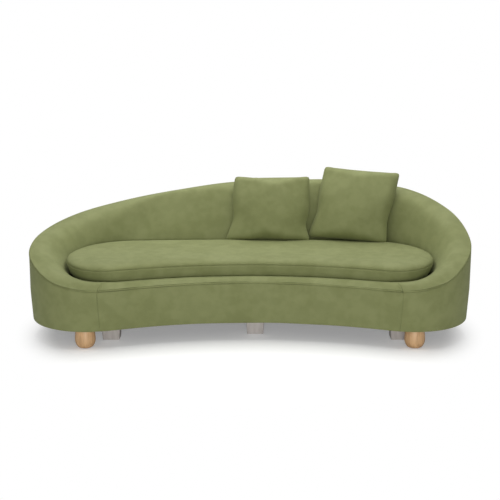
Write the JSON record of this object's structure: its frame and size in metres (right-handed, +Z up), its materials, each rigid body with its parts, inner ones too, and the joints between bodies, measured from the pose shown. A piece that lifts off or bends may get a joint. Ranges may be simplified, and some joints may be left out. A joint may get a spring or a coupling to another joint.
{
  "type": "sofa",
  "caption": "Kidney-shaped upholstered sofa whose rim sweeps from a low front ledge up to a rounded back, with a loose seat cushion, scatter pillows and turned bun feet",
  "frame": {"origin": "on the floor, midway along the length and the depth of the sofa", "axes": "+X runs along the length to a sitter's left, +Z is up, and the open front looks along -Y"},
  "size_m": [2.4012, 0.9832, 0.8578],
  "materials": {
    "velvet": "olive green short-pile velvet with a soft uneven sheen",
    "foam": "upholstery foam, open fine cells",
    "filling": "loose pillow filling",
    "turned_wood": "light turned hardwood, satin, upright grain",
    "plywood": "plain plywood, uncoated",
    "grey_wood": "square blocks in a pale grey stain, mat",
    "webbing": "elastic upholstery webbing",
    "lining_cloth": "thin non-woven black cloth",
    "board": "thin pressed board",
    "glide": "mat nylon"
  },
  "bodies": {
    "sofa": {"left_bun_foot": "turned_wood", "right_bun_foot": "turned_wood", "left_support_foot": "grey_wood", "middle_support_foot": "grey_wood", "right_support_foot": "grey_wood", "left_rear_foot": "grey_wood", "middle_rear_foot": "grey_wood", "right_rear_foot": "grey_wood", "foot_glides": "glide", "base_ring": "plywood", "seat_ring": "plywood", "ring_spacers": "plywood", "left_cross_rail": "plywood", "middle_cross_rail": "plywood", "right_cross_rail": "plywood", "foot_blocks": "plywood", "support_blocks": "plywood", "dust_cover": "lining_cloth", "rim_rail": "plywood", "back_ribs": "plywood", "front_lining": "board", "outside_lining": "board", "inside_lining": "board", "front_ledge_pad": "foam", "right_horn_pad": "foam", "left_horn_pad": "foam", "right_arm_pad": "foam", "right_back_pad": "foam", "middle_back_pad": "foam", "left_back_pad": "foam", "left_arm_pad": "foam", "front_cover": "velvet", "right_side_cover": "velvet", "back_cover": "velvet", "left_side_cover": "velvet", "front_ledge_cover": "velvet", "inside_cover": "velvet", "rim_welt": "velvet", "cross_webbing": "webbing", "long_webbing": "webbing", "platform_pad": "foam", "deck_cloth": "lining_cloth"},
    "seat_cushion": {"seat_cushion_cover": "velvet", "seat_cushion_core": "foam", "seat_cushion_piping": "velvet"},
    "left_pillow": {"left_pillow_cover": "velvet", "left_pillow_filling": "filling"},
    "right_pillow": {"right_pillow_cover": "velvet", "right_pillow_filling": "filling"}
  },
  "joints": [
    {"name": "seat_cushion_lift", "type": "slide", "parent": "sofa", "child": "seat_cushion", "axis": [0, 0, 1], "range_m": [0, 0.45]},
    {"name": "left_pillow_lift", "type": "slide", "parent": "seat_cushion", "child": "left_pillow", "axis": [0, 0, 1], "range_m": [0, 0.42]},
    {"name": "right_pillow_lift", "type": "slide", "parent": "seat_cushion", "child": "right_pillow", "axis": [0, 0, 1], "range_m": [0, 0.42]}
  ]
}
